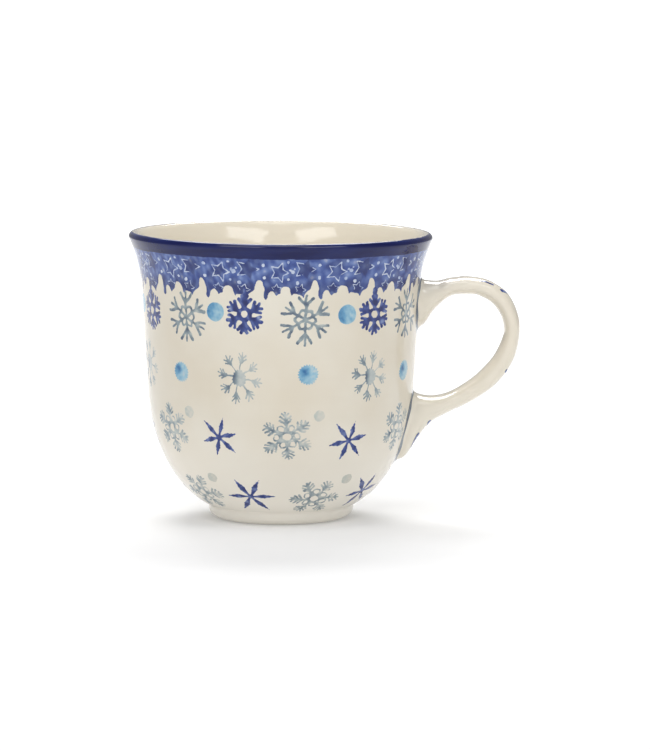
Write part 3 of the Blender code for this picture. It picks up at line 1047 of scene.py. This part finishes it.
def make_handle_dabs(material):
    """Cobalt dabs brushed across the strap's outer face, some running on to its sides."""
    outer = handle_points(HANDLE_MARKS, np.zeros(len(HANDLE_MARKS)))
    lengths = lengths_along(outer)
    skin = Skin(HANDLE_PAINT_LIFT)
    span = np.arange(-DAB_HALF, DAB_HALF + DAB_CELL, DAB_CELL)
    x, y = np.meshgrid(span, span)
    for number, (mark, side, thick, wide, lean) in enumerate(HANDLE_DABS):
        shaken_x, shaken_y = hand_shake(x, y, 600 + 20 * number, 0.15)
        tilt = math.radians(lean)
        along = shaken_x * math.cos(tilt) + shaken_y * math.sin(tilt)
        across = shaken_y * math.cos(tilt) - shaken_x * math.sin(tilt)
        half = wide / 2.0
        field = segment(along, across, (0.0, -half + 0.4), (0.0, half - 0.4), thick * 0.26, thick * 0.42)
        places, edge, faces, depth = paint_shape(field)
        middle = np.interp(mark, HANDLE_MARKS, lengths)
        local_x, local_y = read_grid(x, places), read_grid(y, places)
        marks = np.interp(middle + local_x, lengths, HANDLE_MARKS)
        width = np.interp(marks, HANDLE_MARKS, HANDLE_WIDTHS)
        where = (marks, side + np.degrees(local_y / (width * 0.8)))
        pigment = np.clip(0.55 + 0.25 * drift(640 + number, 2.0, local_x, local_y), 0, 1)
        paint = soften(depth, pigment)
        skin.add(handle_points(*where), handle_normals(*where), edge, faces, depth, paint)
    skin.build("handle_cobalt_dabs", material, "handle_glaze")


# --- materials


class Nodes:
    """A short way to write the node tree of a material or the world."""

    def __init__(self, owner, shader="Principled BSDF"):
        owner.use_nodes = True
        self.material = owner
        self.tree = owner.node_tree
        self.shader = self.tree.nodes[shader]

    def add(self, kind, inputs=None, **settings):
        node = self.tree.nodes.new(kind)
        for key, value in settings.items():
            setattr(node, key, value)
        for key, value in (inputs or {}).items():
            if isinstance(value, bpy.types.NodeSocket):
                self.tree.links.new(value, node.inputs[key])
            else:
                node.inputs[key].default_value = value
        return node

    def link(self, source, socket_name):
        self.tree.links.new(source, self.shader.inputs[socket_name])

    def position(self, scale=(1.0, 1.0, 1.0)):
        coords = self.add("ShaderNodeTexCoord")
        mapping = self.add("ShaderNodeMapping", {"Vector": coords.outputs["Object"], "Scale": scale})
        return mapping.outputs["Vector"]

    def noise(self, vector, scale, detail=2.0, roughness=0.5):
        node = self.add(
            "ShaderNodeTexNoise",
            {"Vector": vector, "Scale": scale, "Detail": detail, "Roughness": roughness},
        )
        return node.outputs["Fac"]

    def spread(self, value, low, high, to_low=0.0, to_high=1.0):
        node = self.add(
            "ShaderNodeMapRange",
            {"Value": value, "From Min": low, "From Max": high, "To Min": to_low, "To Max": to_high},
        )
        return node.outputs["Result"]

    def calculate(self, operation, first, second):
        node = self.add("ShaderNodeMath", {0: first, 1: second}, operation=operation)
        return node.outputs["Value"]

    def mix(self, factor, first, second):
        node = self.add("ShaderNodeMix", data_type="RGBA")
        for index, value in ((0, factor), (6, first), (7, second)):
            if isinstance(value, bpy.types.NodeSocket):
                self.tree.links.new(value, node.inputs[index])
            else:
                node.inputs[index].default_value = value
        return node.outputs[2]

    def ramp(self, value, stops):
        node = self.add("ShaderNodeValToRGB", {"Fac": value})
        elements = node.color_ramp.elements
        while len(elements) < len(stops):
            elements.new(0.5)
        for element, (position, colour) in zip(elements, stops):
            element.position = position
            element.color = colour
        return node.outputs["Color"]

    def attribute(self, name):
        return self.add("ShaderNodeAttribute", attribute_name=name).outputs["Fac"]


CREAM = srgb(216, 209, 194)
CREAM_WARM = srgb(211, 202, 184)
CREAM_PALE = srgb(220, 215, 202)
# Painted light: a paler cream for the inside, standing in for the light that falls into the cup.
CREAM_INSIDE_PAINTED_LIGHT = srgb(228, 220, 203)
# Painted light: a paler cream for the handle and its slip roots, standing in for how they are lit.
CREAM_PAINTED_LIGHT = srgb(233, 226, 211)
# Painted light: a paler cream for the lower body, standing in for light bounced up from the floor.
CREAM_PAINTED_BOUNCE_LIGHT = srgb(236, 231, 220)
BARE_CLAY = srgb(176, 148, 118)
PALE_CLAY = srgb(196, 172, 142)
SPECK = srgb(120, 96, 70)
CREAM_WASH = srgb(212, 206, 193)
WHITE = (1.0, 1.0, 1.0, 1.0)
BLACK = (0.0, 0.0, 0.0, 1.0)
GLAZE_IOR = 1.5
WAVE_HEIGHT = 0.0002
MOTTLE_SCALE = 700.0


def glaze_finish(nodes, roughness=0.07):
    """The clear glaze over everything: a fine gloss with the slow waves of a dipped coat."""
    place = nodes.position()
    broad = nodes.noise(place, 130.0, 2.0)
    fine = nodes.noise(place, 900.0, 3.0)
    polish = nodes.spread(broad, 0.3, 0.7, roughness * 0.75, roughness * 1.35)
    polish = nodes.calculate("ADD", polish, nodes.spread(fine, 0.35, 0.75, 0.0, 0.03))
    nodes.link(polish, "Roughness")
    height = nodes.calculate("ADD", broad, nodes.calculate("MULTIPLY", fine, 0.06))
    bump = nodes.add("ShaderNodeBump", {"Height": height, "Strength": 0.5, "Distance": WAVE_HEIGHT})
    nodes.link(bump.outputs["Normal"], "Normal")
    nodes.shader.inputs["IOR"].default_value = GLAZE_IOR
    nodes.shader.inputs["Specular IOR Level"].default_value = 0.5


def cream_colour(nodes):
    """Cream clay seen through clear glaze: slow warm and pale clouds and a few fine iron specks."""
    place = nodes.position()
    clouds = nodes.noise(place, 28.0, 3.0, 0.55)
    colour = nodes.ramp(clouds, ((0.3, CREAM_WARM), (0.5, CREAM), (0.7, CREAM_PALE)))
    grain = nodes.noise(place, 1400.0, 2.0)
    colour = nodes.mix(nodes.spread(grain, 0.3, 0.8, 0.0, 0.12), colour, CREAM_WARM)
    cells = nodes.add("ShaderNodeTexVoronoi", {"Vector": place, "Scale": 210.0}, feature="F1")
    chosen = nodes.spread(nodes.noise(place, 55.0, 1.0), 0.64, 0.7)
    speck = nodes.spread(cells.outputs["Distance"], 0.075, 0.04)
    speck = nodes.calculate("MULTIPLY", nodes.calculate("MULTIPLY", speck, chosen), 0.6)
    return nodes.mix(speck, colour, SPECK)


def cup_material():
    nodes = Nodes(bpy.data.materials.new("cream_glazed_stoneware"))
    colour = cream_colour(nodes)
    height = nodes.add("ShaderNodeSeparateXYZ", {0: nodes.position()}).outputs["Z"]
    # Painted light: the cream turns paler towards the foot, in place of light bounced up from the floor.
    colour = nodes.mix(nodes.spread(height, 0.034, 0.003), colour, CREAM_PAINTED_BOUNCE_LIGHT)
    # Painted light: the inside gets a paler cream, in place of the light that falls into the cup.
    inside = nodes.attribute("inside")
    colour = nodes.mix(nodes.calculate("MULTIPLY", inside, 0.85), colour, CREAM_INSIDE_PAINTED_LIGHT)
    bare = nodes.attribute("bare")
    ragged = nodes.noise(nodes.position(), 420.0, 3.0)
    bare = nodes.spread(nodes.calculate("ADD", bare, nodes.calculate("MULTIPLY", ragged, 0.5)), 0.65, 0.85)
    sand = nodes.noise(nodes.position(), 2600.0, 3.0)
    clay = nodes.mix(sand, BARE_CLAY, PALE_CLAY)
    nodes.link(nodes.mix(bare, colour, clay), "Base Color")
    glaze_finish(nodes)
    roughness = nodes.shader.inputs["Roughness"].links[0].from_socket
    mixed = nodes.add("ShaderNodeMix", {0: bare, 2: roughness, 3: 0.85}, data_type="FLOAT")
    nodes.link(mixed.outputs[0], "Roughness")
    return nodes.material


def handle_material(name):
    nodes = Nodes(bpy.data.materials.new(name))
    # Painted light: the strap's cream is mixed paler, standing in for how the handle is lit.
    nodes.link(nodes.mix(0.42, cream_colour(nodes), CREAM_PAINTED_LIGHT), "Base Color")
    glaze_finish(nodes)
    return nodes.material


def washed(*stops):
    """Pigment stops that start from a thin cream wash: (amount, red, green, blue)."""
    return ((0.0, CREAM_WASH),) + tuple((amount, srgb(*shade)) for amount, *shade in stops)


def pigment_material(name, stops, mottle=0.12, tone_colour=None, tone_strength=0.0):
    """Stain under clear glaze: how much of it there is sets its colour, from a wash to full strength."""
    nodes = Nodes(bpy.data.materials.new(name))
    amount = nodes.attribute("pigment")
    cloud = nodes.noise(nodes.position(), MOTTLE_SCALE, 3.0, 0.6)
    amount = nodes.calculate("ADD", amount, nodes.spread(cloud, 0.25, 0.75, -mottle, mottle))
    colour = nodes.ramp(amount, stops)
    if tone_colour is not None:
        shade = nodes.calculate("MULTIPLY", nodes.attribute("tone"), tone_strength)
        colour = nodes.mix(shade, colour, tone_colour)
    nodes.link(colour, "Base Color")
    glaze_finish(nodes)
    return nodes.material


def cobalt_band_material():
    nodes = Nodes(bpy.data.materials.new("cobalt_band"))
    streaks = nodes.noise(nodes.position((1.0, 1.0, 9.0)), 90.0, 3.0, 0.6)
    amount = nodes.attribute("pigment")
    amount = nodes.calculate("ADD", amount, nodes.spread(streaks, 0.25, 0.75, -0.12, 0.12))
    colour = nodes.ramp(amount, ((0.1, srgb(96, 108, 166)), (0.55, srgb(22, 36, 96)), (1.0, srgb(8, 16, 72))))
    nodes.link(colour, "Base Color")
    glaze_finish(nodes, roughness=0.06)
    nodes.shader.inputs["Specular IOR Level"].default_value = 0.38
    return nodes.material


# --- light, floor, camera


ROOM_STRENGTH = 1.27
FLOOR_GLOW = 0.15
FAR_FLOOR_GLOW = 0.5
FRONT_ROOM = 0.88
BACK_ROOM = 0.26
OVERHEAD_ROOM = 0.7
FLOOR_RADIUS = 0.85
FLOOR_SIDES = 96


def make_floor():
    """A wide pale table top."""
    mesh = bpy.data.meshes.new("studio_floor")
    angles = np.arange(FLOOR_SIDES) * 2.0 * math.pi / FLOOR_SIDES
    ring = [(FLOOR_RADIUS * math.cos(angle), FLOOR_RADIUS * math.sin(angle), 0.0) for angle in angles]
    mesh.from_pydata(ring, [], [tuple(range(FLOOR_SIDES))])
    nodes = Nodes(bpy.data.materials.new("pale_floor"))
    grain = nodes.noise(nodes.position(), 60.0, 3.0)
    nodes.link(nodes.mix(grain, (0.77, 0.77, 0.77, 1.0), (0.8, 0.8, 0.8, 1.0)), "Base Color")
    nodes.shader.inputs["Roughness"].default_value = 0.9
    nodes.shader.inputs["Specular IOR Level"].default_value = 0.1
    nodes.shader.inputs["Emission Color"].default_value = WHITE
    distance = nodes.add("ShaderNodeVectorMath", {0: nodes.position()}, operation="LENGTH").outputs["Value"]
    nodes.link(nodes.spread(distance, 0.4, FLOOR_RADIUS, FLOOR_GLOW, FAR_FLOOR_GLOW), "Emission Strength")
    mesh.materials.append(nodes.material)
    floor = bpy.data.objects.new("studio_floor", mesh)
    bpy.context.scene.collection.objects.link(floor)


def make_world():
    """A white backdrop for the camera. The mug is lit by a softer room, darker behind the camera."""
    world = bpy.data.worlds.new("white_studio")
    bpy.context.scene.world = world
    nodes = Nodes(world, "Background")
    direction = nodes.add("ShaderNodeTexCoord").outputs["Generated"]
    split = nodes.add("ShaderNodeSeparateXYZ", {0: direction})
    around = nodes.spread(split.outputs["Y"], -0.9, 0.15, FRONT_ROOM, BACK_ROOM)
    below = nodes.spread(split.outputs["Z"], 0.0, -0.06, 0.0, 0.8)
    overhead = nodes.spread(split.outputs["Z"], 0.12, 0.6, 1.0, OVERHEAD_ROOM)
    level = nodes.calculate("MULTIPLY", nodes.calculate("MAXIMUM", around, below), overhead)
    backdrop = nodes.add("ShaderNodeLightPath").outputs["Is Camera Ray"]
    level = nodes.calculate("MAXIMUM", level, backdrop)
    nodes.link(nodes.mix(level, BLACK, WHITE), "Color")
    nodes.shader.inputs["Strength"].default_value = ROOM_STRENGTH


def make_softbox(name, location, target, size, power):
    light = bpy.data.lights.new(name, "AREA")
    light.shape = "RECTANGLE"
    light.size, light.size_y = size
    light.energy = power
    lamp = bpy.data.objects.new(name, light)
    lamp.location = location
    direction = Vector(target) - Vector(location)
    lamp.rotation_euler = direction.to_track_quat("-Z", "Y").to_euler()
    lamp.visible_camera = False
    bpy.context.scene.collection.objects.link(lamp)


# Softboxes: name, place in metres, size in metres, power in watts.
SOFTBOXES = (
    ("back_softbox", (-0.02, 0.85, 1.0), (0.85, 0.65), 12.0),
    ("overhead_softbox", (-0.1, -0.08, 1.25), (0.9, 0.5), 3.4),
    ("left_softbox", (-0.48, -0.61, 0.97), (0.6, 0.28), 2.2),
    ("right_softbox", (0.48, -0.61, 0.97), (0.6, 0.28), 2.2),
)


CAMERA_DISTANCE = 1.4
CAMERA_ELEVATION = 6.4
CAMERA_LENS = 225.3


def make_camera(target):
    camera = bpy.data.cameras.new("camera")
    camera.lens = CAMERA_LENS
    camera.sensor_width = 36.0
    holder = bpy.data.objects.new("camera", camera)
    tilt = math.radians(CAMERA_ELEVATION)
    offset = Vector((0.0, -math.cos(tilt), math.sin(tilt))) * CAMERA_DISTANCE
    holder.location = Vector(target) + offset
    holder.rotation_euler = (-offset).to_track_quat("-Z", "Y").to_euler()
    bpy.context.scene.collection.objects.link(holder)
    bpy.context.scene.camera = holder


# --- putting it together


def make_decoration():
    cobalt = pigment_material(
        "cobalt_stain",
        washed((0.35, 116, 132, 176), (0.7, 48, 66, 130), (1.0, 22, 34, 92)),
    )
    grey = pigment_material(
        "grey_blue_stain",
        washed((0.3, 178, 184, 182), (0.65, 130, 144, 150), (1.0, 78, 92, 112)),
    )
    sky = pigment_material(
        "sky_blue_stain",
        washed((0.35, 148, 184, 200), (0.65, 98, 152, 186), (1.0, 38, 98, 150)),
    )
    faint = pigment_material(
        "faint_grey_wash",
        washed((0.5, 180, 186, 180), (1.0, 150, 162, 164)),
        mottle=0.06,
    )
    ground = pigment_material(
        "sponged_blue",
        washed((0.4, 104, 126, 178), (0.8, 62, 84, 148), (1.0, 50, 70, 134)),
        tone_colour=srgb(24, 34, 92),
        tone_strength=0.8,
    )
    lights = pigment_material(
        "pale_reserve",
        ((0.0, srgb(110, 128, 176)), (0.5, srgb(160, 174, 204)), (1.0, srgb(196, 204, 218))),
        mottle=0.08,
    )
    slate = pigment_material(
        "slate_outline",
        washed((0.35, 138, 148, 156), (1.0, 70, 82, 100)),
    )
    stamps = (
        ("cobalt_snowflakes", cobalt_flake, COBALT_FLAKES, 9.2, 0.2, 0.036, cobalt, 1000),
        ("branched_grey_snowflakes", branched_flake, BRANCHED_FLAKES, 8.6, 0.17, 0.028, grey, 2000),
        ("fern_grey_snowflakes", fern_flake, FERN_FLAKES, 8.6, 0.15, 0.028, grey, 3000),
        ("rosette_grey_snowflakes", rosette_flake, ROSETTE_FLAKES, 8.4, 0.18, 0.028, grey, 4000),
        ("cobalt_petal_stars", petal_star, PETAL_STARS, 8.2, 0.19, 0.036, cobalt, 5000),
        ("plain_blue_dots", plain_dot, PLAIN_DOTS, 3.6, 0.25, 0.024, sky, 6000),
        ("serrated_blue_dots", serrated_dot, SERRATED_DOTS, 3.6, 0.18, 0.024, sky, 7000),
        ("faint_grey_dots", faint_dot, FAINT_DOTS, 2.6, 0.25, 0.02, faint, 8000),
    )
    for name, motif, placements, half, cell, lift, material, seed in stamps:
        stamp_skin(motif, placements, half, cell, lift, seed).build(name, material, "cup_glaze")
    rough = 1.0
    border_skin(0.032, 0.24 * rough, border_ground).build("sponged_star_border", ground, "cup_glaze")
    border_skin(0.042, 0.15 * rough, border_lights).build("pale_star_outlines", lights, "cup_glaze")
    make_rim_band(cobalt_band_material())
    make_handle_dabs(cobalt)
    return slate


def make_mug():
    make_cup(cup_material())
    make_handle(handle_material("cream_glazed_handle"))
    slip = handle_material("cream_glazed_slip")
    slate = make_decoration()
    for side, upper in (("upper", True), ("lower", False)):
        curves = root_curves(upper)
        make_fillet(f"{side}_root_fillet", f"{side}_slip_joint", curves, slip)
        make_root_outline(f"{side}_root_outline", curves, slate)


make_mug()
make_floor()
make_world()
middle = (cad_box[0] + cad_box[1]) / 2
for softbox, place, size, power in SOFTBOXES:
    make_softbox(softbox, place, middle, size, power)
make_camera((middle.x, middle.y, middle.z))
bpy.context.scene.view_settings.view_transform = "Standard"
